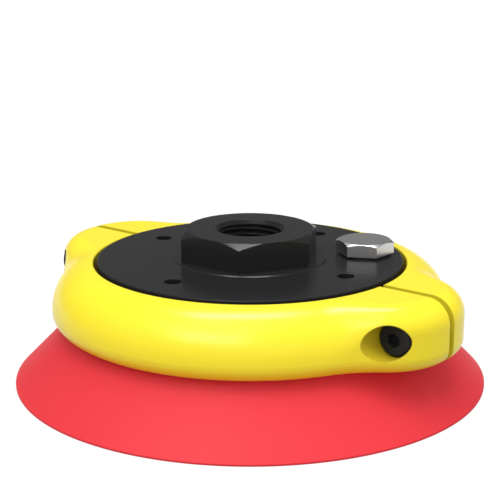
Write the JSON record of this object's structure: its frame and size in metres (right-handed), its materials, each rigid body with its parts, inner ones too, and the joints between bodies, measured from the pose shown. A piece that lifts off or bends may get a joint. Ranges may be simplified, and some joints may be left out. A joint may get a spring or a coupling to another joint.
{
  "type": "flat vacuum cup",
  "caption": "Flat suction cup with a thin silicone lip, held on a round fitting plate with a threaded hexagon boss by a split clamp with side lugs and screws.",
  "frame": {"origin": "centre of the lip's rim, on the surface that the cup grips", "axes": "+Z along the threaded bore, away from the gripped surface; +X along the clamp's split line to the lug whose screw head faces -Y"},
  "size_m": [0.113, 0.113, 0.036],
  "materials": {
    "cup_silicone": "matte red silicone",
    "plate_black": "satin black anodised",
    "plug_metal": "satin plated",
    "seal_rubber": "matte black",
    "clamp_plastic": "semi-gloss yellow moulding",
    "screw_black": "black oxide"
  },
  "bodies": {
    "root": {"suction_cup": "cup_silicone", "fitting_plate": "plate_black", "port_plug": "plug_metal", "plug_seal": "seal_rubber", "clamp_front": "clamp_plastic", "clamp_rear": "clamp_plastic", "clamp_screw_right": "screw_black", "clamp_screw_left": "screw_black", "clamp_nut_right": "screw_black", "clamp_nut_left": "screw_black"}
  },
  "joints": []
}
